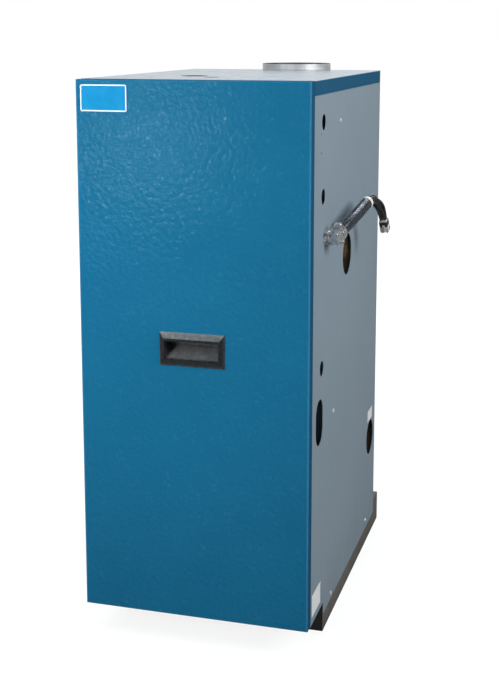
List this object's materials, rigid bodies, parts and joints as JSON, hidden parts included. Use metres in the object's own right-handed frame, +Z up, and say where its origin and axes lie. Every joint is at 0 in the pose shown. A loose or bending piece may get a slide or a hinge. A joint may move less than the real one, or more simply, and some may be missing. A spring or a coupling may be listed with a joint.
{
  "type": "hot water boiler",
  "caption": "Floor-standing gas-fired cast-iron hot-water boiler in a sheet-metal jacket, with a lift-off blue front door, rear draft hood and armoured cable lead.",
  "frame": {"origin": "on the floor, at the middle of the boiler's box, without the cable", "axes": "+Z up, the door faces -Y, and the pipe side is +X"},
  "size_m": [0.4887, 0.848, 1.033],
  "materials": {
    "door_blue": "textured baked enamel",
    "panel_grey": "smooth semi-gloss enamel",
    "base_dark": "dull dark paint",
    "galvanised": "galvanised sheet",
    "bare_steel": "plain steel",
    "cast_iron": "as cast",
    "insulation": "resin-bonded fibre board",
    "handle_black": "moulded, satin",
    "badge_blue": "plain gloss plate",
    "die_cast": "die-cast zinc look",
    "armour": "interlocked armour",
    "bushing_white": "moulded",
    "wire_black": "insulated wire",
    "plug_plastic": "moulded",
    "button_red": "moulded",
    "magnet_black": "moulded",
    "brass": "turned",
    "control_grey": "semi-gloss",
    "gauge_case": "black enamel",
    "needle_red": "painted",
    "lens_clear": "clear"
  },
  "bodies": {
    "boiler": {"top_panel": "door_blue", "left_side_panel": "panel_grey", "right_side_panel": "panel_grey", "rear_panel": "panel_grey", "vestibule_panel": "panel_grey", "upper_crossbar": "panel_grey", "lower_crossbar": "panel_grey", "left_base_rail": "base_dark", "right_base_rail": "base_dark", "front_base_member": "base_dark", "rear_base_member": "base_dark", "base_pan": "galvanised", "draft_hood": "galvanised", "hood_baffle": "galvanised", "flue_collar": "galvanised", "flue_collector": "galvanised", "junction_box": "galvanised", "burner_access_panel": "galvanised", "jacket_screws": "bare_steel", "door_pins": "bare_steel", "push_nipples": "bare_steel", "tie_rods": "bare_steel", "burner_1": "bare_steel", "burner_2": "bare_steel", "burner_3": "bare_steel", "pilot_burner": "bare_steel", "spill_switch": "bare_steel", "rollout_switch": "bare_steel", "left_end_section": "cast_iron", "middle_section_1": "cast_iron", "middle_section_2": "cast_iron", "right_end_section": "cast_iron", "gas_manifold": "cast_iron", "left_insulation": "insulation", "right_insulation": "insulation", "rear_insulation": "insulation", "top_insulation": "insulation", "conduit_connector": "die_cast", "connector_locknut": "die_cast", "gas_valve": "die_cast", "pilot_tube": "die_cast", "harness_conduit": "armour", "conduit_bushing": "bushing_white", "harness_wires": "wire_black", "harness_plug": "plug_plastic", "door_magnets": "magnet_black", "burner_orifices": "brass", "control_box": "control_grey", "control_cover": "control_grey", "gauge_body": "gauge_case", "gauge_lens": "lens_clear"},
    "door": {"front_door": "door_blue", "door_handle": "handle_black", "badge_plate": "badge_blue", "door_brackets": "bare_steel"},
    "gas_knob": {"gas_valve_knob": "handle_black"},
    "dial": {"control_dial": "handle_black"},
    "needle": {"gauge_needle": "needle_red"},
    "spill_button": {"spill_reset_button": "button_red"},
    "rollout_button": {"rollout_reset_button": "button_red"}
  },
  "joints": [
    {"name": "door_slide", "type": "slide", "parent": "boiler", "child": "door", "axis": [0, -1, 0], "range_m": [0, 0.3]},
    {"name": "gas_knob_turn", "type": "hinge", "parent": "boiler", "child": "gas_knob", "pos_m": [0.01, -0.3325, 0.451], "axis": [0, 0, 1], "range_deg": [0, 90]},
    {"name": "dial_turn", "type": "hinge", "parent": "boiler", "child": "dial", "pos_m": [-0.11, -0.334, 0.7], "axis": [0, 1, 0], "range_deg": [0, 270]},
    {"name": "needle_turn", "type": "hinge", "parent": "boiler", "child": "needle", "pos_m": [0.025, -0.3155, 0.69], "axis": [0, 1, 0], "range_deg": [0, 270], "stiffness_Nm_per_rad": 0.0005},
    {"name": "spill_button_push", "type": "slide", "parent": "boiler", "child": "spill_button", "axis": [1, 0, 0], "range_m": [0, 0.0025], "stiffness_N_per_m": 600},
    {"name": "rollout_button_push", "type": "slide", "parent": "boiler", "child": "rollout_button", "axis": [0, 1, 0], "range_m": [0, 0.0025], "stiffness_N_per_m": 600}
  ]
}
